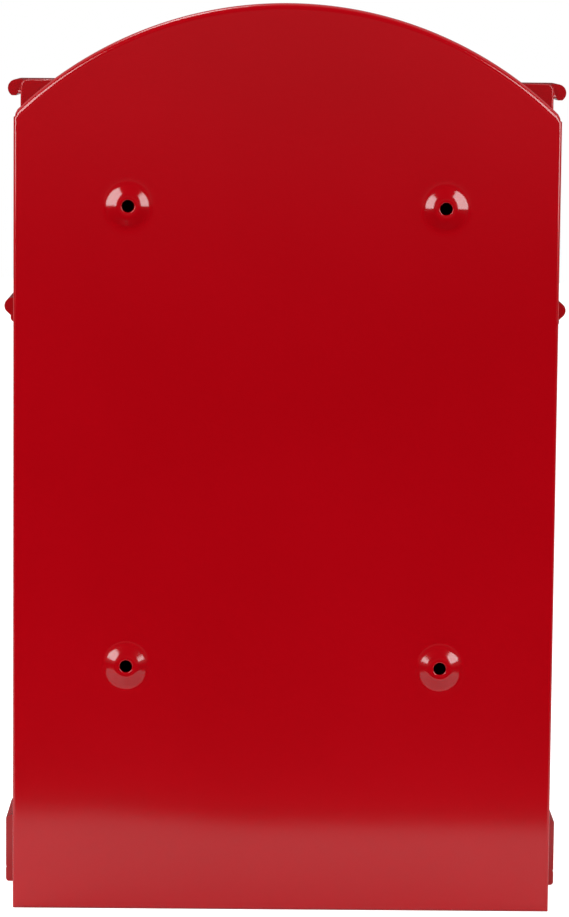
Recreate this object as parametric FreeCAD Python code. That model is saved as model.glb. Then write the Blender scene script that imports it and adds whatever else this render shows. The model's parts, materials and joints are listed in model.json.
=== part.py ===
"""Wall mounted post box: folded steel shell, cast moulded front, lockable door.

Millimetres. +Z is up, the front faces -Y and the wall is at +Y. The origin is the
centre of the four fixing holes, on the plane where their bosses touch the wall.
"""

import FreeCAD, Part
import math
import os

V = FreeCAD.Vector

# Fixing holes in the back, each on a pressed boss that touches the wall
hole_spacing_x = 140.0
hole_spacing_z = 205.0
hole_radius = 2.75
boss_height = 2.5
boss_base_radius = 10.0
boss_land_radius = 5.0

# Folded shell: arch topped back panel with side, bottom and roof walls in one sheet
body_width = 241.0
drop_below_holes = 213.5
shoulder_above_holes = 141.0
arch_foot_above_holes = 144.4
arch_foot_inset = 1.7
apex_above_holes = 191.8
shell_depth = 50.0
sheet = 1.2
bend_radius = 2.0
shoulder_relief = 0.7
lip_width = 16.0
lip_end_gap = 14.0
lip_corner_gap = 2.0

# Cast front: neck, face plate, mouldings round three sides
casting_depth = 39.5
cast_wall = 4.0
face_plate = 4.0
cornice_top_above_holes = 156.6
cast_corner_radius = 3.0
cast_edge = 0.8
moulding_setback = 3.0
moulding_root = 1.0
spigot_length = 8.0
spigot_wall = 3.0
seat_gap = 0.15
spigot_above_shoulder = 6.0

# Cornice nose
nose_reach = 5.9
nose_height = 7.3
nose_hook = 1.1

# Waist moulding
waist_top_above_holes = 57.6
torus_radius = 3.7
bead_radius = 2.2

# Plinth
plinth_height = 37.4
plinth_reach = 6.5
plinth_base_height = 6.8
plinth_base_round = 1.5
plinth_groove = 0.5
plinth_face_height = 23.0

# Arched rim of the pediment above the cornice
rim_width = 11.0
rim_reach = 3.4
tympanum_recess = 1.2
tympanum_margin = 5.0
tympanum_foot = 6.0

# Letter slot with its hood and surround
slot_width = 168.0
slot_height = 25.0
slot_above_holes = 99.0
surround_width = 6.0
surround_reach = 2.4
hood_reach = 11.0
hood_height = 9.0
hood_overhang = 5.0
hood_lip = 2.4

# Doorway and door
doorway_width = 184.0
doorway_height = 203.0
doorway_above_holes = -63.5
door_clearance = 1.5
door_thickness = 5.0
stop_overlap = 7.0
stop_thickness = 4.0
stop_gap = 1.0
stop_rib_width = 6.0
border_inset = 6.0
border_width = 8.0
border_reach = 2.2
field_inset = 15.0
field_width = 2.5

# Hinges
hinge_end_inset = 36.5
hinge_height = 36.0
barrel_radius = 3.0
barrel_stand_off = 0.4
barrel_offset = 3.0
knuckle_gap = 0.4
leaf_thickness = 1.5
leaf_reach = 17.0
pin_radius = 1.5
pin_head_radius = 2.6
pin_head_height = 1.2
pin_tail = 0.8
running_fit = 0.05

# Cam lock
lock_from_hinge = 167.0
lock_above_holes = -62.0
lock_body_radius = 8.0
lock_flange_radius = 10.0
lock_pad_margin = 1.2
lock_flange = 2.0
lock_flange_bevel = 1.2
lock_hole_gap = 0.1
plug_radius = 6.0
plug_sink = 0.3
keyway_width = 1.6
keyway_height = 7.2
keyway_depth = 6.0
shank_square = 6.0
cam_length = 28.0
cam_width = 13.0
cam_thickness = 2.0
cam_gap = 1.5
cam_clearance = 1.0
lock_nut_flats = 19.0
lock_nut_height = 3.0
lock_washer = 0.8
cam_screw_radius = 1.2
cam_screw_length = 5.0
cam_screw_head_radius = 2.6
cam_screw_head_height = 1.8
cam_washer_radius = 5.0

# Letter flap on its rod
flap_thickness = 1.2
flap_drop = 37.0
flap_side_lap = 6.0
rod_radius = 2.0
rod_above_slot = 8.5
rod_behind_face = 4.0
lug_width = 6.0
lug_gap = 1.5
lug_wall = 3.0
clip_radius = 3.6
clip_thickness = 0.8
rod_tail = 1.2

# Screws
casting_screw_above_bottom = 63.5
casting_screw_below_shoulder = 31.0
casting_screw_radius = 2.0
casting_screw_length = 12.0
casting_screw_head_radius = 3.6
casting_screw_head_height = 2.4
washer_radius = 4.5
washer_thickness = 0.8
casting_boss_radius = 5.5
casting_boss_inset = 9.0
casting_boss_floor = 4.0
leaf_screw_out = 12.0
leaf_screw_spacing = 21.6
leaf_screw_radius = 1.5
leaf_screw_length = 4.0
leaf_screw_head_radius = 2.7
leaf_screw_head_height = 1.4
screw_clearance = 0.2
screw_tip_gap = 0.6
head_sides = 12
shank_sides = 8
washer_sides = 16
boss_sides = 12
bumper_radius = 3.0

# How far a cutting block reaches past what it cuts, clear of the hood and the hinges
cut_reach = 20.0

# Worked out from the driving dimensions
half_width = body_width / 2
bottom_z = -drop_below_holes
shoulder_z = shoulder_above_holes
foot_x = half_width - arch_foot_inset
arch_rise = apex_above_holes - arch_foot_above_holes
arch_radius = (foot_x**2 + arch_rise**2) / (2 * arch_rise)
arch_centre_z = apex_above_holes - arch_radius
arch_half_angle = math.asin(foot_x / arch_radius)
panel_y = -boss_height
joint_y = panel_y - shell_depth
face_y = joint_y - casting_depth
face_back_y = face_y + face_plate
cornice_z = cornice_top_above_holes
door_front_y = face_y
door_back_y = door_front_y + door_thickness
stop_front_y = door_back_y + stop_gap
stop_back_y = stop_front_y + stop_thickness
doorway_low_z = doorway_above_holes - doorway_height / 2
doorway_high_z = doorway_above_holes + doorway_height / 2
hinge_x = -(doorway_width / 2 + barrel_offset)
hinge_y = face_y - barrel_radius - barrel_stand_off
hinge_zs = [doorway_high_z - hinge_end_inset, doorway_low_z + hinge_end_inset]
lock_x = hinge_x + lock_from_hinge
lock_z = lock_above_holes
flap_y = face_back_y + rod_behind_face
flap_z = slot_above_holes + slot_height / 2 + rod_above_slot
flap_half_width = slot_width / 2 + flap_side_lap
curl_radius = rod_radius + running_fit + flap_thickness
lug_inner_x = flap_half_width + lug_gap
lug_outer_x = lug_inner_x + lug_width
rod_end_x = lug_outer_x + clip_thickness + rod_tail
cam_front_y = stop_back_y + cam_gap
cam_back_y = cam_front_y + cam_thickness
lock_pad_y = door_front_y - border_reach
fixing_holes = [
    (side * hole_spacing_x / 2, level * hole_spacing_z / 2)
    for side in (-1, 1)
    for level in (-1, 1)
]


def outline(place, start, *steps):
    """Closed wire in the plane that place() gives.

    A step is the next point, or a pair (middle, end) for an arc. The wire closes
    with a straight line if the last step doesn't end at the start.
    """
    edges = []
    here = start
    for step in steps + (start,):
        if isinstance(step[0], tuple):
            middle, end = step
            edges.append(Part.Arc(place(*here), place(*middle), place(*end)).toShape())
        else:
            end = step
            if math.dist(here, end) < 1e-6:
                continue
            edges.append(Part.LineSegment(place(*here), place(*end)).toShape())
        here = end
    return Part.Wire(edges)


def box(x0, x1, y0, y1, z0, z1):
    """Block between the given planes, each pair in either order."""
    low = V(min(x0, x1), min(y0, y1), min(z0, z1))
    return Part.makeBox(abs(x1 - x0), abs(y1 - y0), abs(z1 - z0), low)


def rod(radius, x, z, y0, y1):
    """Cylinder along Y between y0 and y1."""
    return Part.makeCylinder(radius, abs(y1 - y0), V(x, min(y0, y1), z), V(0, 1, 0))


def pillar(radius, x, y, z0, z1):
    """Cylinder along Z from z0 to z1."""
    return Part.makeCylinder(radius, z1 - z0, V(x, y, z0), V(0, 0, 1))


def bar(radius, y, z, x0, x1):
    """Cylinder along X from x0 to x1."""
    return Part.makeCylinder(radius, x1 - x0, V(x0, y, z), V(1, 0, 0))


def fused(shapes):
    """One solid from shapes that overlap or share faces."""
    whole = shapes[0].fuse(shapes[1:])
    return whole.removeSplitter()


def edges_on_plane(shape, y):
    """Edges of a shape that lie in the plane at y."""
    return [
        edge for edge in shape.Edges
        if abs(edge.BoundBox.YMin - y) < 1e-4 and abs(edge.BoundBox.YMax - y) < 1e-4
    ]


def shell_block(y_back, y_front, inset):
    """Filled block with the shell's arch topped outline, its walls moved inwards by inset."""
    side = half_width - inset
    low = bottom_z + inset
    radius = arch_radius - inset
    foot = (radius * math.sin(arch_half_angle), arch_centre_z + radius * math.cos(arch_half_angle))
    shoulder_turn = math.atan2(arch_foot_inset, arch_foot_above_holes - shoulder_above_holes)
    shoulder = shoulder_z - inset * math.tan(shoulder_turn / 2)
    wire = outline(
        lambda x, z: V(x, y_back, z),
        (-side, low),
        (side, low),
        (side, shoulder),
        foot,
        ((0.0, arch_centre_z + radius), (-foot[0], foot[1])),
        (-side, shoulder),
    )
    return Part.Face(wire).extrude(V(0, y_front - y_back, 0))


def pressed_boss(x, z):
    """Ring of sheet drawn out to the wall, with a flat land round its hole.

    Its flank follows an S in three bands: flare, slope and shoulder. Underneath it is a cone.
    """
    run = boss_base_radius - boss_land_radius
    wire = outline(
        lambda r, y: V(x + r, y, z),
        (boss_base_radius, panel_y),
        (boss_base_radius - run / 4, panel_y + boss_height / 10),
        (boss_land_radius + run / 4, -boss_height / 10),
        (boss_land_radius, 0.0),
        (hole_radius, 0.0),
        (hole_radius, -sheet),
        (boss_land_radius, -sheet),
        (boss_base_radius, panel_y - sheet),
    )
    return Part.Face(wire).revolve(V(x, 0, z), V(0, 1, 0), 360)


def casting_screw_places():
    """Centres (x, z) of the screws that hold the casting to the shell's lips."""
    side_x = half_width - casting_boss_inset
    low_z = bottom_z + casting_boss_inset
    levels = (bottom_z + casting_screw_above_bottom, shoulder_z - casting_screw_below_shoulder)
    places = [(side * side_x, z) for side in (-1, 1) for z in levels]
    places += [(side * half_width / 2, low_z) for side in (-1, 1)]
    return places


def back_shell():
    """Sheet steel shell: back panel with bosses, and walls that end in inward lips."""
    outer = shell_block(panel_y, joint_y, 0.0)
    outer = outer.makeFillet(bend_radius, edges_on_plane(outer, panel_y))
    inner_y = panel_y - sheet
    inner = shell_block(inner_y, joint_y - 1, sheet)
    inner = inner.makeChamfer(bend_radius - sheet, edges_on_plane(inner, inner_y))
    shell = outer.cut(inner)
    lip_y = joint_y + sheet
    lips = [
        box(side * half_width, side * (half_width - lip_width), joint_y, lip_y,
            bottom_z + lip_end_gap, shoulder_z - lip_end_gap)
        for side in (-1, 1)
    ]
    low_lip = half_width - lip_width - lip_corner_gap
    lips.append(box(-low_lip, low_lip, joint_y, lip_y, bottom_z, bottom_z + lip_width))
    shell = fused([shell] + lips)
    for x, z in fixing_holes:
        shell = shell.cut(rod(boss_base_radius, x, z, panel_y - sheet - 1, 1))
        shell = fused([shell, pressed_boss(x, z)])
    for x, z in casting_screw_places():
        shell = shell.cut(prism(casting_screw_radius + screw_clearance, shank_sides, x, z,
                                joint_y - 1, lip_y + 1))
    for side in (-1, 1):
        relief = box(side * (half_width - shoulder_relief), side * body_width,
                     joint_y - 1, panel_y + 1, shoulder_z, apex_above_holes)
        shell = shell.cut(relief)
    return shell


def casting_block(y_back, y_front, inset):
    """Filled block of the casting: square shoulders under a segmental arch."""
    side = half_width - inset
    low = bottom_z + inset
    top = cornice_z - inset
    corner = max(cast_corner_radius - inset, 0.5)
    slack = corner * (1 - math.sqrt(0.5))
    shoulders = outline(
        lambda x, z: V(x, y_back, z),
        (-side, low),
        (side, low),
        (side, top - corner),
        ((side - slack, top - slack), (side - corner, top)),
        (-side + corner, top),
        ((-side + slack, top - slack), (-side, top - corner)),
    )
    arch = arch_segment(y_back, y_front, arch_radius - inset)
    block = Part.Face(shoulders).extrude(V(0, y_front - y_back, 0))
    return fused([block, arch])


def arch_segment(y_back, y_front, radius):
    """Filled segment of the arch between its two feet, with the given radius."""
    foot = (radius * math.sin(arch_half_angle), arch_centre_z + radius * math.cos(arch_half_angle))
    segment = outline(
        lambda x, z: V(x, y_back, z),
        (-foot[0], foot[1]),
        ((0.0, arch_centre_z + radius), foot),
    )
    return Part.Face(segment).extrude(V(0, y_front - y_back, 0))


def three_sided(*profile):
    """Moulding round the two sides and the front, mitred at the front corners.

    Profile points are (outward reach, height).
    """
    y_start = joint_y - moulding_setback
    path = Part.makePolygon([
        V(-half_width, y_start, 0), V(-half_width, face_y, 0),
        V(half_width, face_y, 0), V(half_width, y_start, 0),
    ])
    wire = outline(lambda reach, z: V(-half_width - reach, y_start, z), *profile)
    return path.makePipeShell([wire], True, False, 1)


def cornice():
    """Bull nosed cornice, hooked under to throw off the rain."""
    top = cornice_z
    low = top - nose_height
    return three_sided(
        (-moulding_root, top),
        (nose_reach - nose_height / 2, top),
        ((nose_reach, top - nose_height / 2), (nose_reach - nose_height / 4, low)),
        (nose_reach * 0.36, low),
        (nose_reach * 0.25, low + nose_hook),
        (-moulding_root, low + nose_hook),
    )


def waist():
    """Waist moulding: a torus that runs down to a smaller bead."""
    top = waist_top_above_holes
    centre = top - torus_radius
    lean = math.radians(40)
    bead_z = centre - torus_radius - bead_radius + 0.5
    foot = (torus_radius * (1 + math.cos(lean)), centre - torus_radius * math.sin(lean))
    return three_sided(
        (-moulding_root, top),
        (torus_radius, top),
        ((2 * torus_radius, centre), foot),
        (2 * bead_radius, bead_z + 1.0),
        ((2 * bead_radius, bead_z - 0.6), (bead_radius, bead_z - bead_radius)),
        (-moulding_root, bead_z - bead_radius),
    )


def plinth():
    """Plinth: grooved base, tall face, slope and a top bead."""
    low = bottom_z
    base = low + plinth_base_height
    face_top = base + plinth_face_height
    top = low + plinth_height
    reach = plinth_reach
    slack = plinth_base_round * (1 - math.sqrt(0.5))
    slope = (top - face_top) * 0.2
    bead = (top - face_top - slope) / 2
    return three_sided(
        (-moulding_root, low),
        (reach - plinth_base_round, low),
        ((reach - slack, low + slack), (reach, low + plinth_base_round)),
        (reach, base - plinth_groove),
        (reach - plinth_groove, base),
        (reach, base + plinth_groove),
        (reach, face_top),
        (reach * 0.6, face_top + slope),
        (reach * 0.38, top - 2 * bead),
        ((reach * 0.45, top - bead), (reach * 0.25, top)),
        (-moulding_root, top),
    )


def pediment_rim():
    """Raised rim that follows the arch on the front above the cornice."""
    y_front = face_y - rim_reach
    top = arch_radius
    foot = arch_radius - rim_width
    ease = rim_reach / 2
    profile = outline(
        lambda radius, y: V(radius, y, arch_centre_z),
        (foot, face_y + moulding_root),
        (foot, face_y),
        (foot + ease, face_y - ease),
        (foot + 2 * ease, face_y - ease),
        (foot + 3 * ease, y_front),
        (top - ease, y_front),
        (top, y_front + ease),
        (top, face_y + moulding_root),
    )
    middle = V(0, 0, arch_centre_z)
    start = Part.Face(profile)
    start.rotate(middle, V(0, 1, 0), -90 - math.degrees(arch_half_angle))
    rim = start.revolve(middle, V(0, 1, 0), 2 * math.degrees(arch_half_angle))
    below = box(-body_width, body_width, y_front - 1, 0, -body_width, cornice_z - moulding_root)
    return rim.cut(below)


def raised_frame(x0, x1, z0, z1, width, y_back, y_front):
    """Flat rectangular frame with its front edges rounded over."""
    frame = box(x0, x1, y_front, y_back, z0, z1)
    frame = frame.cut(box(x0 + width, x1 - width, y_front - 1, y_back + 1, z0 + width, z1 - width))
    ease = min(width, abs(y_back - y_front)) * 0.42
    return frame.makeFillet(ease, edges_on_plane(frame, y_front))


def slot_hood():
    """Cast brow over the slot, with a sloping top and a drip edge."""
    base = slot_above_holes + slot_height / 2 + surround_width - moulding_root
    half = slot_width / 2 + surround_width + hood_overhang
    lip_y = face_y - hood_reach
    profile = outline(
        lambda y, z: V(-half, y, z),
        (face_y + moulding_root, base),
        (lip_y + hood_reach * 0.45, base),
        (lip_y + hood_reach * 0.2, base - hood_lip),
        ((lip_y + hood_reach * 0.03, base - hood_lip * 0.7), (lip_y, base + hood_lip * 0.25)),
        ((lip_y + hood_reach * 0.28, base + hood_height * 0.6), (face_y, base + hood_height)),
        (face_y + moulding_root, base + hood_height),
    )
    return Part.Face(profile).extrude(V(2 * half, 0, 0))


def flap_lugs():
    """Two lugs behind the face that carry the flap's rod."""
    lugs = []
    for side in (-1, 1):
        x0 = min(side * lug_inner_x, side * lug_outer_x)
        wire = outline(
            lambda y, z: V(x0, y, z),
            (face_back_y - 1, flap_z - rod_radius - lug_wall),
            (flap_y, flap_z - rod_radius - lug_wall),
            ((flap_y + rod_radius + lug_wall, flap_z), (flap_y, flap_z + rod_radius + lug_wall)),
            (face_back_y - 1, flap_z + rod_radius + lug_wall),
        )
        lugs.append(Part.Face(wire).extrude(V(lug_width, 0, 0)))
    return lugs


def door_stop():
    """Rib round the doorway behind the face, with a ledge that the door closes on."""
    half = doorway_width / 2
    return box(-half - stop_rib_width, half + stop_rib_width, face_back_y - 1, stop_back_y,
               doorway_low_z - stop_rib_width, doorway_high_z + stop_rib_width)


def bumper_places():
    """Centres (x, z) of the rubber bumpers on the ledge beside the lock."""
    x = doorway_width / 2 - stop_overlap / 2
    return [(x, z) for z in hinge_zs]


def leaf_screw_places(side):
    """Centres (x, z) of the screws in the frame leaves (side -1) or door leaves (side 1)."""
    x = hinge_x + side * leaf_screw_out
    return [(x, z + shift * leaf_screw_spacing / 2) for z in hinge_zs for shift in (1, -1)]


def front_casting():
    """Cast front: hollow neck and face plate with every moulding in one piece."""
    neck = casting_block(joint_y, face_y, 0.0)
    neck = neck.makeChamfer(cast_edge, edges_on_plane(neck, joint_y))
    block = fused([
        neck,
        cornice(), waist(), plinth(), pediment_rim(), slot_hood(),
        raised_frame(-slot_width / 2 - surround_width, slot_width / 2 + surround_width,
                     slot_above_holes - slot_height / 2 - surround_width,
                     slot_above_holes + slot_height / 2 + surround_width,
                     surround_width, face_y + moulding_root, face_y - surround_reach),
    ])
    rear_wall_y = joint_y - cast_wall
    block = block.cut(shell_block(joint_y + 1, rear_wall_y, cast_wall))
    block = block.cut(casting_block(rear_wall_y, face_back_y, cast_wall))
    spigot = arch_segment(joint_y + spigot_length, joint_y - 3, arch_radius - sheet - seat_gap)
    spigot = spigot.cut(arch_segment(joint_y + spigot_length + 1, joint_y - 4,
                                     arch_radius - sheet - seat_gap - spigot_wall))
    spigot = spigot.cut(box(-body_width, body_width, joint_y - 5, 0, -body_width,
                          shoulder_z + spigot_above_shoulder))
    bosses = []
    for x, z in casting_screw_places():
        floor_y = joint_y - casting_screw_length - casting_boss_floor
        bosses.append(prism(casting_boss_radius, boss_sides, x, z, floor_y, joint_y))
    casting = fused([block, door_stop(), spigot] + flap_lugs() + bosses)
    half = doorway_width / 2
    casting = casting.cut(box(-half, half, face_y - cut_reach, stop_front_y, doorway_low_z, doorway_high_z))
    casting = casting.cut(box(-half + stop_overlap, half - stop_overlap, face_y, stop_back_y + 1,
                              doorway_low_z + stop_overlap, doorway_high_z - stop_overlap))
    casting = casting.cut(box(-slot_width / 2, slot_width / 2, face_y - cut_reach, face_back_y + 1,
                              slot_above_holes - slot_height / 2, slot_above_holes + slot_height / 2))
    casting = casting.cut(tympanum())
    for x, z in casting_screw_places():
        casting = casting.cut(prism(casting_screw_radius + running_fit, shank_sides, x, z,
                                    joint_y - casting_screw_length, joint_y + 1))
    for x, z in leaf_screw_places(-1):
        casting = casting.cut(prism(leaf_screw_radius + running_fit, shank_sides, x, z,
                                    face_y - 1, face_y + leaf_screw_length))
    inner_x = half_width - cast_wall
    casting = casting.cut(bar(rod_radius + running_fit, flap_y, flap_z, -inner_x, inner_x))
    return casting


def tympanum():
    """Shallow sunk field inside the pediment's rim."""
    radius = arch_radius - rim_width - tympanum_margin
    low = cornice_z + tympanum_foot
    half = math.sqrt(radius**2 - (low - arch_centre_z) ** 2)
    wire = outline(
        lambda x, z: V(x, face_y - 1, z),
        (-half, low),
        ((0.0, arch_centre_z + radius), (half, low)),
    )
    return Part.Face(wire).extrude(V(0, 1 + tympanum_recess, 0))


def door_panel():
    """Cast door leaf with a raised border, a fine bead round its field and a pad for the lock."""
    half = doorway_width / 2 - door_clearance
    low = doorway_low_z + door_clearance
    high = doorway_high_z - door_clearance
    left = hinge_x + leaf_reach
    edge = border_inset
    border = raised_frame(left + edge, half - edge, low + edge, high - edge,
                          border_width, door_front_y + moulding_root, door_front_y - border_reach)
    inset = edge + border_width + field_inset
    bead = raised_frame(left + inset, half - inset, low + inset, high - inset,
                        field_width, door_front_y + moulding_root, door_front_y - field_width / 2)
    lock_pad = rod(lock_flange_radius + lock_pad_margin, lock_x, lock_z,
                   lock_pad_y, door_front_y + moulding_root)
    leaf = fused([box(-half, half, door_front_y, door_back_y, low, high), border, bead, lock_pad])
    leaf = leaf.cut(rod(lock_body_radius + lock_hole_gap, lock_x, lock_z, lock_pad_y - 1, door_back_y + 1))
    for x, z in leaf_screw_places(1):
        leaf = leaf.cut(prism(leaf_screw_radius + running_fit, shank_sides, x, z,
                              door_front_y - 1, door_front_y + leaf_screw_length))
    return leaf


def hinge_leaf(z, side):
    """Hinge leaf: the frame's (side -1) has the two end knuckles, the door's the middle one."""
    third = hinge_height / 6
    if side < 0:
        spans = [(-3 * third, -third - knuckle_gap / 2), (third + knuckle_gap / 2, 3 * third)]
    else:
        spans = [(-third + knuckle_gap / 2, third - knuckle_gap / 2)]
    root = hinge_x + side * (barrel_radius + knuckle_gap)
    tip = hinge_x + side * leaf_reach
    leaf_front_y = face_y - leaf_thickness
    plate = box(root, tip, leaf_front_y, face_y, z - hinge_height / 2, z + hinge_height / 2)
    pieces = [plate]
    for z0, z1 in spans:
        pieces.append(pillar(barrel_radius, hinge_x, hinge_y, z + z0, z + z1))
        pieces.append(box(hinge_x, tip, leaf_front_y, face_y - barrel_stand_off / 2, z + z0, z + z1))
    leaf = fused(pieces)
    leaf = leaf.cut(pillar(pin_radius + running_fit, hinge_x, hinge_y, z - hinge_height, z + hinge_height))
    for x, screw_z in leaf_screw_places(side):
        leaf = leaf.cut(prism(leaf_screw_radius + screw_clearance, shank_sides, x, screw_z,
                              leaf_front_y - 1, face_y + 1))
    return leaf


def hinge_pin(z):
    """Headed pin through the three knuckles, its head on top."""
    top = z + hinge_height / 2
    shaft = pillar(pin_radius, hinge_x, hinge_y, z - hinge_height / 2 - pin_tail, top + pin_head_height / 2)
    return fused([shaft, pillar(pin_head_radius, hinge_x, hinge_y, top, top + pin_head_height)])


def prism(radius, sides, x, z, y0, y1):
    """Regular prism along Y between y0 and y1, its corners on the given radius."""
    turns = [2 * math.pi * i / sides for i in range(sides)]
    corners = [(radius * math.cos(a), radius * math.sin(a)) for a in turns]
    wire = outline(lambda u, w: V(x + u, min(y0, y1), z + w), *corners)
    return Part.Face(wire).extrude(V(0, abs(y1 - y0), 0))


def small_screw(x, z, seat_y, shank_radius, length, head_radius, head_height, toward):
    """Screw along Y, with a few flats round its head and shank.

    Its head is on the side that toward gives (+1 or -1).
    """
    head_end = seat_y + toward * head_height
    shank_end = seat_y - toward * length
    head = prism(head_radius, head_sides, x, z, seat_y, head_end)
    return fused([head, prism(shank_radius, shank_sides, x, z, seat_y, shank_end)])


def leaf_screws(side):
    """The four screws of both frame leaves or both door leaves."""
    return Part.makeCompound([
        small_screw(x, z, face_y - leaf_thickness, leaf_screw_radius,
                    leaf_screw_length + leaf_thickness - screw_tip_gap,
                    leaf_screw_head_radius, leaf_screw_head_height, -1)
        for x, z in leaf_screw_places(side)
    ])


def casting_screws():
    """Screws from inside the shell into the casting's bosses."""
    return Part.makeCompound([
        small_screw(x, z, joint_y + sheet + washer_thickness, casting_screw_radius,
                    casting_screw_length + sheet + washer_thickness - screw_tip_gap,
                    casting_screw_head_radius, casting_screw_head_height, 1)
        for x, z in casting_screw_places()
    ])


def ring(x, z, y0, y1, outer, inner):
    """Flat washer along Y, with a few flats round it that clear the inner radius."""
    washer = prism(outer, washer_sides, x, z, y0, y1)
    return washer.cut(prism(inner / math.cos(math.pi / washer_sides), washer_sides, x, z, y0 - 1, y1 + 1))


def casting_washers():
    """Washers under the casting screws."""
    seat = joint_y + sheet
    return Part.makeCompound([
        ring(x, z, seat, seat + washer_thickness, washer_radius, casting_screw_radius + screw_clearance)
        for x, z in casting_screw_places()
    ])


def door_bumpers():
    """Rubber discs on the ledge that the door closes against."""
    return Part.makeCompound([
        prism(bumper_radius, washer_sides, x, z, door_back_y, stop_front_y) for x, z in bumper_places()
    ])


def lock_housing():
    """Lock body through the door, with a bevelled flange in front."""
    front = lock_pad_y - lock_flange
    rear = cam_front_y - cam_clearance
    flange = rod(lock_flange_radius, lock_x, lock_z, front, lock_pad_y)
    flange = flange.makeChamfer(lock_flange_bevel, edges_on_plane(flange, front))
    body = fused([flange, rod(lock_body_radius, lock_x, lock_z, lock_pad_y - lock_flange / 2, rear)])
    return body.cut(rod(plug_radius + running_fit, lock_x, lock_z, front - 1, rear + 1))


def lock_nut():
    """Hexagon nut that clamps the lock from behind the door."""
    y0 = door_back_y + lock_washer
    nut = prism(lock_nut_flats / math.sqrt(3), 6, lock_x, lock_z, y0, y0 + lock_nut_height)
    return nut.cut(rod(lock_body_radius + running_fit, lock_x, lock_z, y0 - 1, y0 + lock_nut_height + 1))


def lock_washer_ring():
    """Washer between the door and the lock nut."""
    return ring(lock_x, lock_z, door_back_y, door_back_y + lock_washer,
                lock_flange_radius, lock_body_radius + lock_hole_gap)


def lock_plug():
    """Turning plug with a keyway in front and a square shank behind."""
    front = lock_pad_y - lock_flange + plug_sink
    plug = rod(plug_radius, lock_x, lock_z, front, cam_front_y)
    half = shank_square / 2
    shank = box(lock_x - half, lock_x + half, cam_front_y - 1, cam_back_y, lock_z - half, lock_z + half)
    keyway = box(lock_x - keyway_width / 2, lock_x + keyway_width / 2, front - 1, front + keyway_depth,
                 lock_z - keyway_height / 2, lock_z + keyway_height / 2)
    plug = fused([plug, shank]).cut(keyway)
    tapped = prism(cam_screw_radius + running_fit, shank_sides, lock_x, lock_z,
                   cam_back_y - cam_screw_length, cam_back_y + 1)
    return plug.cut(tapped)


def lock_cam():
    """Cam plate on the plug's square shank. It hangs down while the door is unlocked."""
    half = cam_width / 2
    low = lock_z - cam_length
    wire = outline(
        lambda x, z: V(lock_x + x, cam_front_y, z),
        (-half, lock_z),
        (-half, low + half),
        ((0.0, low), (half, low + half)),
        (half, lock_z),
        ((0.0, lock_z + half), (-half, lock_z)),
    )
    plate = Part.Face(wire).extrude(V(0, cam_thickness, 0))
    side = shank_square / 2 + running_fit
    square = box(lock_x - side, lock_x + side, cam_front_y - 1, cam_back_y + 1, lock_z - side, lock_z + side)
    return plate.cut(square)


def cam_washer():
    """Washer under the cam's screw."""
    return ring(lock_x, lock_z, cam_back_y, cam_back_y + washer_thickness,
                cam_washer_radius, cam_screw_radius + screw_clearance)


def cam_screw():
    """Screw that holds the cam on the plug."""
    return small_screw(lock_x, lock_z, cam_back_y + washer_thickness, cam_screw_radius,
                       washer_thickness + cam_screw_length - screw_tip_gap,
                       cam_screw_head_radius, cam_screw_head_height, 1)


def letter_flap():
    """Sheet flap that hangs from its rod, rolled round it at the top."""
    half = flap_half_width
    plate_front = flap_y - curl_radius
    wire = outline(
        lambda y, z: V(-half, y, z),
        (plate_front, flap_z),
        ((flap_y, flap_z + curl_radius), (flap_y + curl_radius, flap_z)),
        ((flap_y + curl_radius * 0.7071, flap_z - curl_radius * 0.7071), (flap_y, flap_z - curl_radius)),
        (flap_y, flap_z - rod_radius - running_fit + 0.3),
        (plate_front + flap_thickness, flap_z - 1.0),
        (plate_front + flap_thickness, flap_z - flap_drop),
        (plate_front, flap_z - flap_drop),
    )
    flap = Part.Face(wire).extrude(V(2 * half, 0, 0))
    return flap.cut(bar(rod_radius + running_fit, flap_y, flap_z, -half - 1, half + 1))


def flap_bumpers():
    """Rubber pads on the flap that meet the back of the face."""
    z = flap_z - flap_drop + bumper_radius + 1.0
    return Part.makeCompound([
        prism(bumper_radius, washer_sides, side * (flap_half_width - bumper_radius), z,
              face_back_y, flap_y - curl_radius)
        for side in (-1, 1)
    ])


def flap_rod():
    """Rod through both lugs and the flap's curl."""
    return bar(rod_radius, flap_y, flap_z, -rod_end_x, rod_end_x)


def rod_clip(side):
    """Push-on washer outside a lug that keeps the rod in, made along Y and turned to X."""
    x0 = min(side * lug_outer_x, side * (lug_outer_x + clip_thickness))
    clip = ring(-flap_y, flap_z, x0, x0 + clip_thickness, clip_radius, rod_radius + running_fit)
    clip.rotate(V(0, 0, 0), V(0, 0, 1), -90)
    return clip


nodes = {
    "back_shell": back_shell(),
    "front_casting": front_casting(),
    "casting_screws": casting_screws(),
    "casting_washers": casting_washers(),
    "door_bumpers": door_bumpers(),
    "flap_rod": flap_rod(),
    "rod_clip_left": rod_clip(-1),
    "rod_clip_right": rod_clip(1),
    "frame_leaf_screws": leaf_screws(-1),
    "door_leaf_screws": leaf_screws(1),
    "door_panel": door_panel(),
    "lock_housing": lock_housing(),
    "lock_washer": lock_washer_ring(),
    "lock_nut": lock_nut(),
    "lock_plug": lock_plug(),
    "lock_cam": lock_cam(),
    "cam_washer": cam_washer(),
    "cam_screw": cam_screw(),
    "letter_flap": letter_flap(),
    "flap_bumpers": flap_bumpers(),
}
for name, z in zip(("upper", "lower"), hinge_zs):
    nodes[f"hinge_frame_leaf_{name}"] = hinge_leaf(z, -1)
    nodes[f"hinge_door_leaf_{name}"] = hinge_leaf(z, 1)
    nodes[f"hinge_pin_{name}"] = hinge_pin(z)

os.makedirs("parts", exist_ok=True)
for name, shape in nodes.items():
    shape.exportStep(f"parts/{name}.step")
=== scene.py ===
"""Looks of the wall mounted post box: gloss enamel, plated fittings, studio and camera.

Metres, in the part's own frame: +Z up, the front faces -Y and the wall is at +Y.
"""

import json
import math

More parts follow.
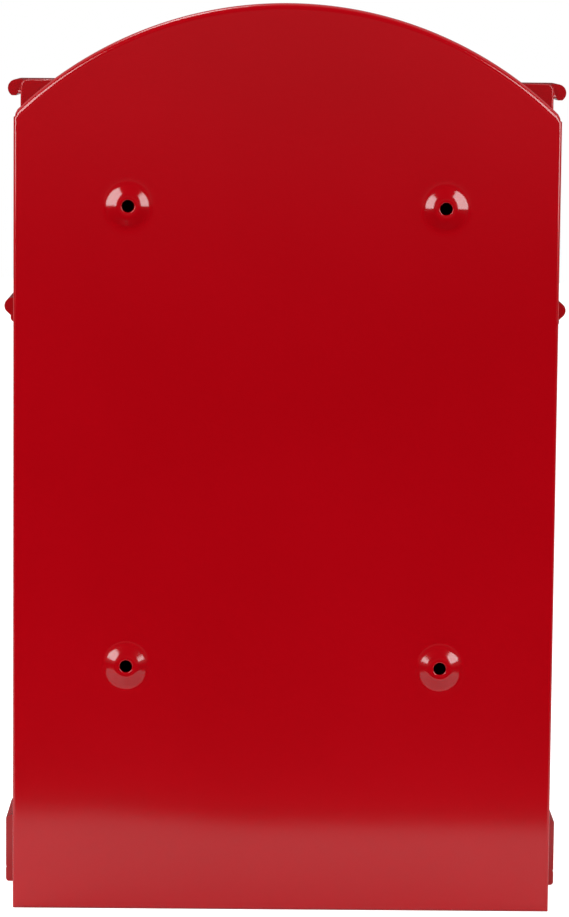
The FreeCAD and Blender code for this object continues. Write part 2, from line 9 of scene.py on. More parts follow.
import bmesh
import bpy
import numpy as np
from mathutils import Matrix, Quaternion, Vector


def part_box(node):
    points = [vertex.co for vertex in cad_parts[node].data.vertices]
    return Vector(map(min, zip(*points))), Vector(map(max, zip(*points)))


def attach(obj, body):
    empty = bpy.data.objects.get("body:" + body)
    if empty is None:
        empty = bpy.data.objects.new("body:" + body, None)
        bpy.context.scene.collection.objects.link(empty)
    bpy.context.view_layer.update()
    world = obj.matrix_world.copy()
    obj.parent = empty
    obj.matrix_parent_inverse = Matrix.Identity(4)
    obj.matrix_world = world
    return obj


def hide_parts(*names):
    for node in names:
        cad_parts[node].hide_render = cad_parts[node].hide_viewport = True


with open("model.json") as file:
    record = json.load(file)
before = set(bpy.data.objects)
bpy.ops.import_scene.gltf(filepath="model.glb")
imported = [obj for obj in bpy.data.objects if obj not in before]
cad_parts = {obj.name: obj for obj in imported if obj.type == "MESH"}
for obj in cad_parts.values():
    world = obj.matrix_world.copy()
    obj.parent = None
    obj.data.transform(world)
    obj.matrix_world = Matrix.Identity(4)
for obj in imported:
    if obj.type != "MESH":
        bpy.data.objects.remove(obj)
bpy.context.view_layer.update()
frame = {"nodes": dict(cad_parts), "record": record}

# The photograph's camera, fitted to the fixing holes and to the box's outline
camera_place = (0.014633, 1.644026, 0.187014)
camera_aim = (0.000132, 0.0, -0.008496)
camera_roll = math.radians(0.5522)
camera_lens = 146.749
camera_sensor = 36.0

# Back panel, its fixing holes and the pressed bosses round them
hole_x = 0.070
hole_z = 0.1025
hole_radius = 0.00275
hole_edge = 0.0005
boss_land_radius = 0.005
boss_base_radius = 0.010
boss_height = 0.0025
boss_round = 0.0015
boss_flat_ring = 0.003

# Folded shell
half_width = 0.1205
bottom_z = -0.2135
shoulder_z = 0.141
arch_foot_z = 0.1444
arch_foot_inset = 0.0017
apex_z = 0.1918
shoulder_relief = 0.0007
sheet = 0.0012
side_bend = 0.0015
arch_bend = 0.003
bend_ease_start = 0.001
bend_ease_height = 0.006
panel_y = -boss_height
joint_y = panel_y - 0.050
wall_rows = (panel_y - arch_bend - 0.0006, -0.020, -0.036, joint_y)
lip_width = 0.016
lip_end_gap = 0.014
lip_corner_gap = 0.002
foot_x = half_width - arch_foot_inset
arch_rise = apex_z - arch_foot_z
arch_radius = (foot_x**2 + arch_rise**2) / (2 * arch_rise)
arch_centre_z = apex_z - arch_radius
arch_half_angle = math.asin(foot_x / arch_radius)

# How finely the shell is divided: its outline, the lines between its quarters, bend and borders
straight_run_points = (34, 52, 36, 6)
arch_points = 111
middle_points = 46
foot_points = 50
waist_points = 34
bend_points = 17
border_shares = (0.15, 0.5, 0.85, 0.988, 1.0)

# Merging distances, and the angles in degrees that count as flat and as sharp
grid_merge = 1e-7
cad_merge = 1e-6
flat_angle = 0.2
cad_sharp = 32.0
sheet_sharp = 32.0
fitting_sharp = 35.0

# Small fittings: where each stands, and its plane
casting_depth = 0.0395
face_y = joint_y - casting_depth
lip_inner_y = joint_y + sheet
casting_screw_places = (
    [(side * 0.1115, z) for side in (-1, 1) for z in (-0.150, 0.110)]
    + [(side * half_width / 2, bottom_z + 0.009) for side in (-1, 1)]
)
hinge_x = -0.095
hinge_y = face_y - 0.0034
hinge_levels = {"upper": 0.0015, "lower": -0.1285}
leaf_screw_shift = 0.0108
frame_leaf_screw_x = hinge_x - 0.012
door_leaf_screw_x = hinge_x + 0.012
leaf_front_y = face_y - 0.0015
lock_x = 0.072
lock_z = -0.062
lock_pad_y = face_y - 0.0022
door_back_y = face_y + 0.005
door_bumper_x = 0.0885
cam_back_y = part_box("lock_cam")[1][1]

# Small fittings: their own sizes
washer_thickness = 0.0008
casting_screw = {"head_radius": 0.0036, "head_height": 0.0024, "shank_radius": 0.002, "length": 0.0134}
leaf_screw = {"head_radius": 0.0027, "head_height": 0.0014, "shank_radius": 0.0015, "length": 0.0049}
cam_screw = {"head_radius": 0.0026, "head_height": 0.0018, "shank_radius": 0.0012, "length": 0.0052}
casting_washer = {"inner": 0.0022, "outer": 0.0045}
rod_clip = {"inner": 0.00205, "outer": 0.0036}
lock_washer = {"inner": 0.0082, "outer": 0.01}
cam_washer = {"inner": 0.0014, "outer": 0.005}
pin_radius = 0.0015
pin_head_radius = 0.0026
pin_head_height = 0.0012
pin_below = 0.0188
pin_above = 0.018
rod_radius = 0.002
bumper_radius = 0.003
door_bumper_height = 0.001
housing_bore = 0.00605
housing_seam = 0.001
barrel_radius = 0.008
flange_radius = 0.01
flange_face_radius = 0.0088
flange_chamfer = 0.0012
flange_thickness = 0.002

# Pan head screws: the head's crown and recess in shares of its radius and height, and the tip
screw_sides = 64
crown_rows = 26
crown_drop = 0.42
crown_power = 2.6
recess_depth = 0.42
arm_half_width = 0.15
arm_side = 0.04
arm_reach = 0.62
arm_end = 0.10
tip_share = 0.6
tip_length = 0.0004
screw_round = 0.00012

# How much of its height an edge's rounding takes, on washers and on rubber discs
washer_round_share = 0.22
disc_round_share = 0.35

# Studio: the table's end towards the camera as (x, y) corners, its tones, and the surroundings
floor_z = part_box("back_shell")[0][2]
table_reach = 4.0
table_end = [(table_reach, 0.199), (0.088, 0.199), (0.02, 0.175), (-table_reach, 0.175)]
table_matt = 0.95
table_mirrored = 0.55
table_glow = 0.6
fill_level = 0.15
horizon_levels = (
    (0.0, 0.0), (0.05, 0.065), (0.13, 0.0), (0.35, 0.0), (0.40, 0.025),
    (0.45, 0.08), (0.50, 0.15), (0.62, 0.12), (1.0, 0.02),
)
ceiling_levels = ((0.0, 0.25), (0.45, 0.06), (0.64, 0.06), (0.78, 0.55), (1.0, 0.55))
white = (1.0, 1.0, 1.0, 1.0)

# What the record says of the nodes, and the nodes that keep their shape and get smooth shading
slot_of = {part["node"]: part["material_slot"] for part in frame["record"]["subparts"]}
body_of = {node: body for body, nodes in frame["record"]["behaviour"]["bodies"].items() for node in nodes}
smooth_nodes = (
    "front_casting", "door_panel", "letter_flap", "lock_plug", "lock_nut", "lock_cam",
    "hinge_frame_leaf_upper", "hinge_frame_leaf_lower", "hinge_door_leaf_upper", "hinge_door_leaf_lower",
)


def emptied_tree(owner):
    """Node tree of a material or world, with no nodes in it."""
    owner.use_nodes = True
    owner.node_tree.nodes.clear()
    return owner.node_tree


def new_material(name):
    """Node material with a Principled shader and an output: the material, its tree, the shader."""
    material = bpy.data.materials.new(name)
    tree = emptied_tree(material)
    shader = tree.nodes.new("ShaderNodeBsdfPrincipled")
    output = tree.nodes.new("ShaderNodeOutputMaterial")
    tree.links.new(shader.outputs["BSDF"], output.inputs["Surface"])
    return material, tree, shader


def noise(tree, scale, detail=2.0, stretch=(1.0, 1.0, 1.0)):
    """Noise on Object coordinates, in features per metre, stretched by a Mapping node."""
    place = tree.nodes.new("ShaderNodeTexCoord")
    mapping = tree.nodes.new("ShaderNodeMapping")
    mapping.inputs["Scale"].default_value = stretch
    texture = tree.nodes.new("ShaderNodeTexNoise")
    texture.inputs["Scale"].default_value = scale
    texture.inputs["Detail"].default_value = detail
    tree.links.new(place.outputs["Object"], mapping.inputs["Vector"])
    tree.links.new(mapping.outputs["Vector"], texture.inputs["Vector"])
    return texture.outputs["Fac"]


def bumped(tree, shader, height, distance, strength, under=None):
    """Bump from a height in metres times distance, over an earlier bump if there is one."""
    bump = tree.nodes.new("ShaderNodeBump")
    bump.inputs["Strength"].default_value = strength
    bump.inputs["Distance"].default_value = distance
    tree.links.new(height, bump.inputs["Height"])
    if under is not None:
        tree.links.new(under, bump.inputs["Normal"])
    tree.links.new(bump.outputs["Normal"], shader.inputs["Normal"])
    return bump.outputs["Normal"]


def ramp(tree, value, *stops):
    """Colour ramp through (position, colour) stops."""
    node = tree.nodes.new("ShaderNodeValToRGB")
    elements = node.color_ramp.elements
    while len(elements) < len(stops):
        elements.new(1.0)
    for element, (position, colour) in zip(elements, stops):
        element.position = position
        element.color = colour
    tree.links.new(value, node.inputs["Fac"])
    return node.outputs["Color"]


def grey(level):
    """Opaque grey of a linear level."""
    return (level, level, level, 1.0)


def grey_ramp(tree, value, *levels):
    """Ramp through (position, level) stops of grey."""
    return ramp(tree, value, *[(position, grey(level)) for position, level in levels])


def tinted(tree, shader, pattern, dark, light):
    """Base colour that goes from dark to light as a pattern goes from 0.3 to 0.7."""
    tree.links.new(ramp(tree, pattern, (0.3, dark), (0.7, light)), shader.inputs["Base Color"])


def mixed(tree, share, first, second):
    """Mix of two colours, each a socket or a plain colour."""
    node = tree.nodes.new("ShaderNodeMixRGB")
    tree.links.new(share, node.inputs["Fac"])
    for name, colour in (("Color1", first), ("Color2", second)):
        if isinstance(colour, bpy.types.NodeSocket):
            tree.links.new(colour, node.inputs[name])
        else:
            node.inputs[name].default_value = colour
    return node.outputs["Color"]


def mapped(tree, value, low, high, kind="LINEAR"):
    """Value mapped from low..high to 0..1."""
    node = tree.nodes.new("ShaderNodeMapRange")
    node.interpolation_type = kind
    node.inputs["From Min"].default_value = low
    node.inputs["From Max"].default_value = high
    tree.links.new(value, node.inputs["Value"])
    return node.outputs["Result"]


def red_enamel():
    """Stoved gloss enamel on sheet steel: deep red with a faint mottle and fine orange peel."""
    material, tree, shader = new_material("red_enamel")
    mottle = noise(tree, scale=9.0, detail=3.0)
    tinted(tree, shader, mottle, (0.375, 0.0002, 0.0035, 1.0), (0.405, 0.0004, 0.0045, 1.0))
    shader.inputs["Roughness"].default_value = 0.12
    shader.inputs["Specular IOR Level"].default_value = 0.7
    bumped(tree, shader, noise(tree, scale=420.0), distance=0.00002, strength=0.6)
    return material


def cast_enamel():
    """The same enamel over a casting, whose skin shows through as a softer, larger grain."""
    material, tree, shader = new_material("cast_enamel")
    mottle = noise(tree, scale=11.0, detail=3.0)
    tinted(tree, shader, mottle, (0.370, 0.0002, 0.0035, 1.0), (0.405, 0.0004, 0.0045, 1.0))
    shader.inputs["Roughness"].default_value = 0.19
    shader.inputs["Specular IOR Level"].default_value = 0.7
    skin = noise(tree, scale=260.0, detail=3.0)
    grain = bumped(tree, shader, skin, distance=0.00005, strength=0.6)
    bumped(tree, shader, noise(tree, scale=620.0), distance=0.00002, strength=0.6, under=grain)
    return material


def zinc_plate():
    """Bright zinc on small steel fittings, cloudy and with a fine grain."""
    material, tree, shader = new_material("zinc_plate")
    cloud = noise(tree, scale=300.0, detail=4.0)
    tinted(tree, shader, cloud, (0.50, 0.51, 0.53, 1.0), (0.66, 0.67, 0.69, 1.0))
    shader.inputs["Metallic"].default_value = 1.0
    tree.links.new(grey_ramp(tree, cloud, (0.3, 0.26), (0.7, 0.40)), shader.inputs["Roughness"])
    grain = noise(tree, scale=900.0, detail=3.0)
    bumped(tree, shader, grain, distance=0.00002, strength=0.4)
    return material


def chrome_plate():
    """Polished chrome on the lock, with hairline scratches from keys."""
    material, tree, shader = new_material("chrome_plate")
    sheen = noise(tree, scale=150.0, detail=3.0)
    tinted(tree, shader, sheen, (0.60, 0.61, 0.63, 1.0), (0.74, 0.75, 0.77, 1.0))
    shader.inputs["Metallic"].default_value = 1.0
    rubbed = noise(tree, scale=260.0, detail=5.0, stretch=(1.0, 1.0, 9.0))
    tree.links.new(grey_ramp(tree, rubbed, (0.3, 0.09), (0.8, 0.22)), shader.inputs["Roughness"])
    bumped(tree, shader, rubbed, distance=0.00001, strength=0.3)
    return material


def moulded_rubber():
    """Matt black rubber of the bumpers."""
    material, tree, shader = new_material("moulded_rubber")
    tinted(tree, shader, noise(tree, scale=500.0, detail=4.0), grey(0.012), grey(0.030))
    shader.inputs["Roughness"].default_value = 0.65
    grain = noise(tree, scale=2500.0, detail=3.0)
    bumped(tree, shader, grain, distance=0.00004, strength=0.5)
    return material


finishes = {
    "red_paint": cast_enamel(),
    "zinc_steel": zinc_plate(),
    "lock_chrome": chrome_plate(),
    "black_rubber": moulded_rubber(),
}
sheet_enamel = red_enamel()


def finish_cad_nodes():
    """Give every CAD node the finish of its slot in the record."""
    for name, piece in frame["nodes"].items():
        finish = finishes[slot_of[name]]
        if not piece.material_slots:
            piece.data.materials.append(finish)
        for material_slot in piece.material_slots:
            material_slot.material = finish


def grid_faces(rows, columns, closed_columns=False, closed_rows=False):
    """Four-sided faces between neighbouring points of a grid."""
    index = np.arange(rows * columns).reshape(rows, columns)
    if closed_columns:
        index = np.concatenate([index, index[:, :1]], axis=1)
    if closed_rows:
        index = np.concatenate([index, index[:1]], axis=0)
    corners = [index[:-1, :-1], index[:-1, 1:], index[1:, 1:], index[1:, :-1]]
    return np.stack(corners, axis=-1).reshape(-1, 4)


def grid(points, **closing):
    """Flat list of a grid's points, and its faces."""
    return points.reshape(-1, 3), grid_faces(points.shape[0], points.shape[1], **closing)


def dress(name, node, mesh, finish, sharp):
    """Link a mesh as the piece that stands for a CAD node, smooth but for its sharp edges."""
    mesh.materials.clear()
    mesh.materials.append(finish)
    mesh.shade_smooth()
    mesh.set_sharp_from_angle(angle=math.radians(sharp))
    piece = bpy.data.objects.new(name, mesh)
    bpy.context.scene.collection.objects.link(piece)
    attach(piece, body_of[node])
    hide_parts(node)
    return piece


def new_piece(name, node, grids, finish, sharp=fitting_sharp):
    """Closed piece from grids, in place of a CAD node, with doubles merged and sharp edges kept."""
    points = []
    faces = []
    start = 0
    for grid_points, quads in grids:
        points.append(grid_points)
        faces.append(quads + start)
        start += len(grid_points)
    mesh = bpy.data.meshes.new(name)
    mesh.from_pydata(np.concatenate(points).tolist(), [], np.concatenate(faces).tolist())
    shape = bmesh.new()
    shape.from_mesh(mesh)
    bmesh.ops.remove_doubles(shape, verts=shape.verts, dist=grid_merge)
    bmesh.ops.recalc_face_normals(shape, faces=shape.faces)
    shape.to_mesh(mesh)
    shape.free()
    dress(name, node, mesh, finish, sharp)


def smoothed(node):
    """Merged copy of a CAD node, with its curved faces shaded smooth and its flat ones even."""
    mesh = frame["nodes"][node].data.copy()
    shape = bmesh.new()
    shape.from_mesh(mesh)
    bmesh.ops.remove_doubles(shape, verts=shape.verts, dist=cad_merge)
    flat = math.radians(flat_angle)
    bmesh.ops.dissolve_limit(shape, angle_limit=flat, verts=shape.verts, edges=shape.edges)
    shape.to_mesh(mesh)
    shape.free()
    piece = dress(node + "_finished", node, mesh, finishes[slot_of[node]], cad_sharp)
    even = piece.modifiers.new("flat_faces_stay_flat", "WEIGHTED_NORMAL")
    even.keep_sharp = True


def outline_points(inset):
    """Right half of the shell's outline, moved inwards, from bottom centre to top centre.

    Straight runs are divided evenly between their corners, the arch by equal turns about its
    centre. Returns (x, z) points and the number of the point at half height.
    """
    side = half_width - inset
    low = bottom_z + inset
    turn = math.atan2(arch_foot_inset, arch_foot_z - shoulder_z)
    shoulder = shoulder_z - inset * math.tan(turn / 2)
    radius = arch_radius - inset
    foot = (radius * math.sin(arch_half_angle), arch_centre_z + radius * math.cos(arch_half_angle))
    corners = [(0.0, low), (side, low), (side, 0.0), (side, shoulder), foot]
    runs = [
        np.linspace(start, end, count, endpoint=False)
        for start, end, count in zip(corners[:-1], corners[1:], straight_run_points)
    ]
    angle = np.linspace(arch_half_angle, 0.0, arch_points)
    runs.append(np.stack([radius * np.sin(angle), arch_centre_z + radius * np.cos(angle)], axis=1))
    points = np.concatenate(runs)
    past = (points[:, 1] > shoulder_z) & (points[:, 0] > half_width - shoulder_relief)
    points[past, 0] = half_width - shoulder_relief
    return points, straight_run_points[0] + straight_run_points[1]


def eased(corners, cut, steps):
    """Profile through corners, each inner corner rounded off.

    A quadratic curve joins the points that lie the cut's length before and after the corner:
    (1-t)^2 start + 2t(1-t) corner + t^2 end. A short run is cut just before its middle at most.
    """
    longest_share = 0.49
    corners = np.asarray(corners, dtype=float)
    t = np.linspace(0.0, 1.0, steps + 1)[:, None]
    runs = [corners[:1]]
    for before, corner, after in zip(corners[:-2], corners[1:-1], corners[2:]):
        start = corner + (before - corner) * min(longest_share, cut / np.linalg.norm(before - corner))
        end = corner + (after - corner) * min(longest_share, cut / np.linalg.norm(after - corner))
        runs.append((1 - t) ** 2 * start + 2 * t * (1 - t) * corner + t**2 * end)
    return np.concatenate(runs + [corners[-1:]])


def boss_profile(depth):
    """Radius and y of a pressed boss, from its hole's edge to the flat panel.

    A flat land, a straight conical flank and soft corners between them. depth is 0 outside and
    the sheet's thickness inside. The outer skin rolls over into the hole.
    """
    slope = math.atan(boss_height / (boss_base_radius - boss_land_radius))
    shift = depth * math.tan(slope / 2)
    corners = [
        (hole_radius + hole_edge, -depth),
        (boss_land_radius - shift, -depth),
        (boss_base_radius - shift, panel_y - depth),
        (boss_base_radius + boss_flat_ring, panel_y - depth),
    ]
    flank = eased(corners, boss_round, steps=8)
    if depth:
        rim = np.array([(hole_radius, -depth)])
    else:
        roll = np.linspace(math.pi / 2, 0.0, 5)[:-1]
        radius = hole_radius + hole_edge * (1 - np.sin(roll))
        rim = np.stack([radius, hole_edge * (np.cos(roll) - 1)], axis=1)
    return np.concatenate([rim, flank])


def panel_patch(border, centre, depth):
    """Quarter of the back panel round one boss.

    Rows go from the hole out to the border along rays from the hole's centre: rings first, with
    the boss's profile, then flat rows between the last ring and the border.
    """
    ray = border - centre
    reach = np.linalg.norm(ray, axis=1, keepdims=True)
    ray = ray / reach
    profile = boss_profile(depth)
    rings = centre + profile[:, 0, None, None] * ray
    share = np.array(border_shares)[:, None, None]
    flat = rings[-1] + share * (border - rings[-1])
    across = np.concatenate([rings, flat])
    y = np.concatenate([profile[:, 1], np.full(len(flat), panel_y - depth)])
    y = np.broadcast_to(y[:, None], across.shape[:2])
    return np.stack([across[..., 0], y, across[..., 1]], axis=-1)


def rolled_line(depth, turn):
    """Outline on the bend, at a turn from the panel's plane towards the walls, as (x, y, z) points.

    The sides and the foot are folded tightly, the arch is rolled fuller, and the bend's radius
    eases from one to the other at the shoulder (smoothstep of the height). depth is 0 outside
    and the sheet's thickness inside. inset = bend - (bend - depth) sin(turn).
    """
    outer = outline_points(0.0)[0]
    inner = outline_points(arch_bend)[0]
    climb = np.clip((outer[:, 1] - shoulder_z + bend_ease_start) / bend_ease_height, 0.0, 1.0)
    bend = side_bend + (arch_bend - side_bend) * climb**2 * (3 - 2 * climb)
    inset = bend - (bend - depth) * math.sin(turn)
    line = outer + (inner - outer) * (inset / arch_bend)[:, None]
    y = panel_y - bend + (bend - depth) * math.cos(turn)
    return np.stack([line[:, 0], y, line[:, 1]], axis=1)


def skirt(depth):
    """Bend and wall carried along the outline: a quarter round, then straight to the joint."""
    rows = [rolled_line(depth, turn) for turn in np.linspace(0.0, math.pi / 2, bend_points)]
    for y in wall_rows:
        wall = rows[-1].copy()
        wall[:, 1] = y
        rows.append(wall)
    return np.stack(rows)


def slab(low, high):
    """Closed box between two corners, as a grid of rings with its ends closed to points."""
    (x0, y0, z0), (x1, y1, z1) = low, high
    ring = np.array([(x0, z0), (x1, z0), (x1, z1), (x0, z1)])
    end = np.broadcast_to(ring.mean(axis=0), ring.shape)
    rows = ((end, y0), (ring, y0), (ring, y1), (end, y1))
    points = [np.stack([row[:, 0], np.full(4, y), row[:, 1]], axis=1) for row, y in rows]
    return grid(np.stack(points), closed_columns=True)


def back_shell_sheet():
    """Folded back: four panel quarters with bosses, bend and walls, all with their thickness.

    Its lips are slabs that turn inwards from the walls at the joint.
    """
    middle = np.array([[0.0, 0.0]])
    line = rolled_line(0.0, 0.0)[:, [0, 2]]
    half_way = outline_points(0.0)[1]
    middle_line = np.linspace(line[-1], middle[0], middle_points)[1:-1]
    low_line = np.linspace(middle[0], line[0], foot_points)[1:-1]
    waist_line = np.linspace(middle[0], line[half_way], waist_points)
    upper = np.concatenate([waist_line[:-1], line[half_way:], middle_line])
    lower = np.concatenate([waist_line[::-1][:-1], middle, low_line, line[:half_way]])
    lip_low_z = bottom_z + lip_end_gap
    lip_high_z = shoulder_z - lip_end_gap
    grids = []
    for side in (-1, 1):
        mirror = np.array([side, 1.0, 1.0])
        for border, level in ((upper, 1), (lower, -1)):
            centre = np.array([hole_x, level * hole_z])
            skins = [panel_patch(border, centre, depth) * mirror for depth in (0.0, sheet)]
            grids += [grid(skin, closed_columns=True) for skin in skins]
            grids.append(grid(np.stack([skins[0][0], skins[1][0]]), closed_columns=True))
        walls = [skirt(depth) * mirror for depth in (0.0, sheet)]
        grids += [grid(wall) for wall in walls]
        grids.append(grid(np.stack([walls[0][-1], walls[1][-1]])))
        lip_x = sorted((side * (half_width - sheet / 2), side * (half_width - lip_width)))
        grids.append(slab((lip_x[0], joint_y, lip_low_z), (lip_x[1], lip_inner_y, lip_high_z)))
    foot_lip_x = half_width - lip_width - lip_corner_gap
    foot_lip_low = (-foot_lip_x, joint_y, bottom_z + sheet / 2)
    foot_lip_high = (foot_lip_x, lip_inner_y, bottom_z + lip_width)
    grids.append(slab(foot_lip_low, foot_lip_high))
    new_piece("back_shell_sheet", "back_shell", grids, sheet_enamel, sharp=sheet_sharp)


def unit_circle(axis, sides):
    """Turns a of a full circle, and its points cos a * across + sin a * beyond about the axis."""
    across = np.asarray(axis, dtype=float)[[2, 0, 1]]
    beyond = np.cross(axis, across)
    turn = np.linspace(0.0, 2 * math.pi, sides, endpoint=False)
    return turn, np.cos(turn)[:, None] * across + np.sin(turn)[:, None] * beyond


def rings_about(place, axis, circle, radius, height):
    """Rows of points: place + radius * circle + height * axis."""
    axis = np.asarray(axis, dtype=float)
    return np.asarray(place) + radius[..., None] * circle + height[..., None] * axis


def turned(profile, place, axis, sides=48, ring=False):
    """Turned shape: each (radius, height) of the profile goes round an axis through place.

    Point = place + radius * (cos a * across + sin a * beyond) + height * axis. A ring's profile
    joins its own start; any other starts and ends on the axis.
    """
    circle = unit_circle(axis, sides)[1]
    points = rings_about(place, axis, circle, profile[:, :1], profile[:, 1:])
    return grid(points, closed_columns=True, closed_rows=ring)


def pan_head_screw(place, axis, head_radius, head_height, shank_radius, length):
    """Pan head screw with a cross recess. place is under the head and axis points out of it.

    The head's top is height (1 - crown_drop (r / head)^crown_power), lowered by the recess where
    the point lies in either arm of the cross; its side, seat, shank and tip follow as plain rings.
    """
    turn, circle = unit_circle(axis, screw_sides)
    share = np.linspace(0.0, 1.0, crown_rows)[:, None]
    u = np.abs(share * np.cos(turn))
    w = np.abs(share * np.sin(turn))
    within_width = np.clip((arm_half_width - np.minimum(u, w)) / arm_side, 0.0, 1.0)
    within_reach = np.clip((arm_reach - np.maximum(u, w)) / arm_end, 0.0, 1.0)
    recess = within_width * within_reach
    height = head_height * (1 - crown_drop * share**crown_power - recess_depth * recess)
    radius = np.broadcast_to(head_radius * share, height.shape)
    corners = [
        (head_radius, head_height * (1 - crown_drop)),
        (head_radius, 0.0),
        (shank_radius, 0.0),
        (shank_radius, tip_length - length),
        (shank_radius * tip_share, -length),
        (0.0, -length),
    ]
    below = eased(corners, screw_round, steps=3)[1:]
    below_shape = (len(below), screw_sides)
    radius = np.concatenate([radius, np.broadcast_to(below[:, :1], below_shape)])
    height = np.concatenate([height, np.broadcast_to(below[:, 1:], below_shape)])
    return grid(rings_about(place, axis, circle, radius, height), closed_columns=True)


def flat_washer(place, axis, inner, outer, sides=64):
    """Flat washer with eased edges, its seat at place."""
    start = (inner, washer_thickness / 2)
    top = [(inner, washer_thickness), (outer, washer_thickness)]
    seat = [(outer, 0.0), (inner, 0.0)]
    profile = eased([start] + top + seat + [start], washer_thickness * washer_round_share, steps=3)[:-1]
    return turned(profile, place, axis, sides, ring=True)


def rubber_disc(place, axis, radius, height):
    """Bumper disc with a rounded rim."""
    corners = [(0.0, 0.0), (radius, 0.0), (radius, height), (0.0, height)]
    return turned(eased(corners, height * disc_round_share, steps=4), place, axis)


def fittings():
    """Screws, washers, pins, rod, clips, bumpers and lock rings, each finer than its solid."""
    back, front, up, right = (0, 1, 0), (0, -1, 0), (0, 0, 1), (1, 0, 0)
    zinc = finishes["zinc_steel"]
    rubber = finishes["black_rubber"]
    chrome = finishes["lock_chrome"]

    new_piece("casting_screw_set", "casting_screws", [
        pan_head_screw((x, lip_inner_y + washer_thickness, z), back, **casting_screw)
        for x, z in casting_screw_places
    ], zinc)
    new_piece("casting_washer_set", "casting_washers", [
        flat_washer((x, lip_inner_y, z), back, **casting_washer) for x, z in casting_screw_places
    ], zinc)

    shifts = (leaf_screw_shift, -leaf_screw_shift)
    screw_levels = [z + shift for z in hinge_levels.values() for shift in shifts]
    for node, x in (("frame_leaf_screws", frame_leaf_screw_x), ("door_leaf_screws", door_leaf_screw_x)):
        new_piece(node + "_turned", node, [
            pan_head_screw((x, leaf_front_y, z), front, **leaf_screw) for z in screw_levels
        ], zinc)
    for name, z in hinge_levels.items():
        low = z - pin_below
        high = z + pin_above
        top = high + pin_head_height
        pin = eased([
            (0.0, low), (pin_radius, low), (pin_radius, high),
            (pin_head_radius, high), (pin_head_radius, top), (0.0, top),
        ], cut=0.00035, steps=4)
        new_piece("hinge_pin_turned_" + name, "hinge_pin_" + name, [
            turned(pin, (hinge_x, hinge_y, 0.0), up)
        ], zinc)
    new_piece("door_bumper_discs", "door_bumpers", [
        rubber_disc((door_bumper_x, door_back_y, z), back, bumper_radius, door_bumper_height)
        for z in hinge_levels.values()
    ], rubber)

    (x0, y0, z0), (x1, y1, z1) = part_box("flap_rod")
    rod_y, rod_z = (y0 + y1) / 2, (z0 + z1) / 2
    rod = eased([(0.0, x0), (rod_radius, x0), (rod_radius, x1), (0.0, x1)], cut=0.0003, steps=3)
    new_piece("flap_rod_turned", "flap_rod", [turned(rod, (0.0, rod_y, rod_z), right)], zinc)
    for name in ("left", "right"):
        inner_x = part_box("rod_clip_" + name)[0][0]
        new_piece("rod_clip_ring_" + name, "rod_clip_" + name, [
            flat_washer((inner_x, rod_y, rod_z), right, **rod_clip)
        ], zinc)
    (x0, y0, z0), (x1, y1, z1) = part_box("flap_bumpers")
    new_piece("flap_bumper_discs", "flap_bumpers", [
        rubber_disc((side * (x1 - bumper_radius), y0, (z0 + z1) / 2), back, bumper_radius, y1 - y0)
        for side in (-1, 1)
    ], rubber)

    flange_y = lock_pad_y - flange_thickness
    rear_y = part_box("lock_housing")[1][1]
    seam = (housing_bore, flange_y + housing_seam)
    housing = eased([
        seam, (housing_bore, flange_y), (flange_face_radius, flange_y),
        (flange_radius, flange_y + flange_chamfer), (flange_radius, lock_pad_y),
        (barrel_radius, lock_pad_y), (barrel_radius, rear_y), (housing_bore, rear_y), seam,
    ], cut=0.00025, steps=4)[:-1]
    new_piece("lock_housing_turned", "lock_housing", [
        turned(housing, (lock_x, 0.0, lock_z), back, sides=96, ring=True)
    ], chrome)
    new_piece("lock_washer_turned", "lock_washer", [
        flat_washer((lock_x, door_back_y, lock_z), back, sides=96, **lock_washer)
    ], zinc)
    new_piece("cam_washer_turned", "cam_washer", [
        flat_washer((lock_x, cam_back_y, lock_z), back, **cam_washer)
    ], zinc)
    new_piece("cam_screw_turned", "cam_screw", [
        pan_head_screw((lock_x, cam_back_y + washer_thickness, lock_z), back, **cam_screw)
    ], zinc)


def stage_floor():
    """White table that ends between the box and the camera, a little further out on the +X side.

    The camera sees it white, with the box's soft shadow, and the enamel mirrors it darker.
    """
    corners = [(-table_reach, -table_reach, floor_z), (table_reach, -table_reach, floor_z)]
    corners += [(x, y, floor_z) for x, y in table_end]
    mesh = bpy.data.meshes.new("table_top")
    mesh.from_pydata(corners, [], [tuple(range(len(corners)))])
    table = bpy.data.objects.new("table_top", mesh)
    bpy.context.scene.collection.objects.link(table)
    material = bpy.data.materials.new("table_white")
    tree = emptied_tree(material)
    output = tree.nodes.new("ShaderNodeOutputMaterial")
    seen = tree.nodes.new("ShaderNodeLightPath")
    matt = tree.nodes.new("ShaderNodeBsdfDiffuse")
    tone = mixed(tree, seen.outputs["Is Glossy Ray"], grey(table_matt), grey(table_mirrored))
    tree.links.new(tone, matt.inputs["Color"])
    glow = tree.nodes.new("ShaderNodeEmission")
    glow.inputs["Color"].default_value = white
    both = tree.nodes.new("ShaderNodeAddShader")
    level = tree.nodes.new("ShaderNodeMath")
    level.operation = "MULTIPLY"
    level.inputs[1].default_value = table_glow
    tree.links.new(seen.outputs["Is Camera Ray"], level.inputs[0])
    tree.links.new(level.outputs["Value"], glow.inputs["Strength"])
    tree.links.new(matt.outputs["BSDF"], both.inputs[0])
    tree.links.new(glow.outputs["Emission"], both.inputs[1])
    tree.links.new(both.outputs["Shader"], output.inputs["Surface"])
    mesh.materials.append(material)


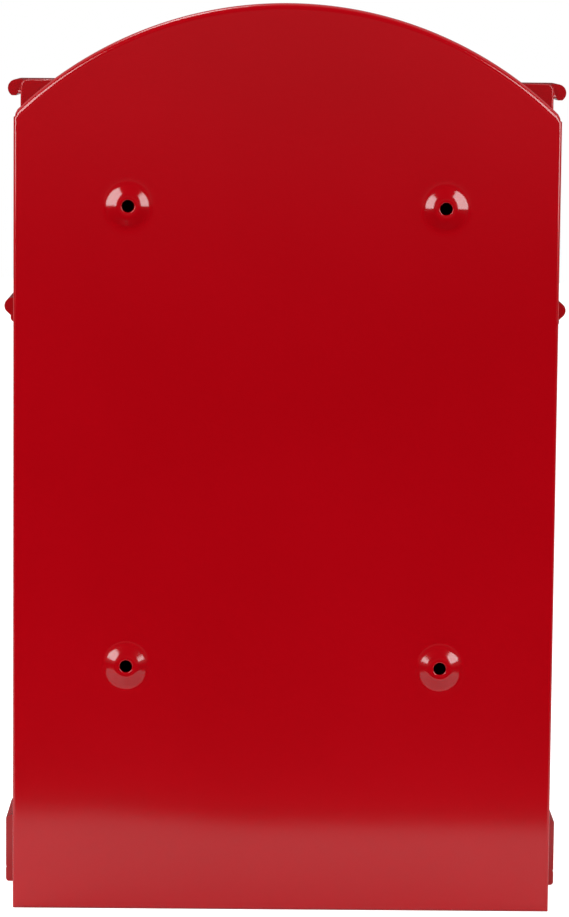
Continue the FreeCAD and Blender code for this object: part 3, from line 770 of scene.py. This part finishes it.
def studio_world():
    """White backdrop for the camera, even light for matt surfaces, a dark studio in reflections.

    Towards +Y, behind the camera, reflections find a pale horizon and a faint glow far below it,
    just above the table's edge; towards -Y they find a pale ceiling.
    """
    world = bpy.data.worlds.new("studio")
    bpy.context.scene.world = world
    tree = emptied_tree(world)
    output = tree.nodes.new("ShaderNodeOutputWorld")
    background = tree.nodes.new("ShaderNodeBackground")
    place = tree.nodes.new("ShaderNodeTexCoord")
    split = tree.nodes.new("ShaderNodeSeparateXYZ")
    seen = tree.nodes.new("ShaderNodeLightPath")
    tree.links.new(place.outputs["Generated"], split.inputs["Vector"])
    behind = mapped(tree, split.outputs["Y"], low=-0.25, high=0.35, kind="SMOOTHSTEP")
    near_level = mapped(tree, split.outputs["Z"], low=-0.25, high=0.25)
    down_to_up = mapped(tree, split.outputs["Z"], low=-1.0, high=1.0)
    horizon = grey_ramp(tree, near_level, *horizon_levels)
    ceiling = grey_ramp(tree, down_to_up, *ceiling_levels)
    mirrored = mixed(tree, behind, ceiling, horizon)
    spread = mixed(tree, behind, white, grey(fill_level))
    light = mixed(tree, seen.outputs["Is Glossy Ray"], spread, mirrored)
    tree.links.new(mixed(tree, seen.outputs["Is Camera Ray"], light, white), background.inputs["Color"])
    tree.links.new(background.outputs["Background"], output.inputs["Surface"])


def soft_box(name, bearing, distance, centre_z, width, height, radiance):
    """Area lamp aimed at the origin, hidden from the camera.

    Its bearing goes from +Y towards +X in degrees, and its distance is level. A matt lamp of
    radiance L and area A sends out pi * L * A watts.
    """
    turn = math.radians(bearing)
    place = Vector((math.sin(turn) * distance, math.cos(turn) * distance, centre_z))
    lamp = bpy.data.lights.new(name, "AREA")
    lamp.shape = "RECTANGLE"
    lamp.size = width
    lamp.size_y = height
    lamp.energy = math.pi * radiance * width * height
    piece = bpy.data.objects.new(name, lamp)
    bpy.context.scene.collection.objects.link(piece)
    piece.location = place
    piece.rotation_mode = "QUATERNION"
    piece.rotation_quaternion = (-place).to_track_quat("-Z", "Y")
    piece.visible_camera = False


def photograph_camera():
    """Camera fitted to the photograph."""
    data = bpy.data.cameras.new("photograph")
    data.sensor_fit = "VERTICAL"
    data.sensor_height = camera_sensor
    data.lens = camera_lens
    camera = bpy.data.objects.new("photograph", data)
    bpy.context.scene.collection.objects.link(camera)
    camera.location = camera_place
    camera.rotation_mode = "QUATERNION"
    look = (Vector(camera_aim) - Vector(camera_place)).to_track_quat("-Z", "Y")
    camera.rotation_quaternion = look @ Quaternion((0, 0, 1), camera_roll)
    bpy.context.scene.camera = camera


finish_cad_nodes()
back_shell_sheet()
for smooth_node in smooth_nodes:
    smoothed(smooth_node)
fittings()
stage_floor()
studio_world()
soft_box("soft_box_left", bearing=52, distance=0.95, centre_z=0.43, width=0.53, height=0.81, radiance=6.4)
soft_box("soft_box_right", bearing=-54, distance=0.95, centre_z=0.41, width=0.52, height=0.80, radiance=6.1)
soft_box("soft_box_above", bearing=124, distance=0.40, centre_z=1.19, width=0.42, height=0.40, radiance=5.5)
photograph_camera()
bpy.context.scene.view_settings.view_transform = "Standard"
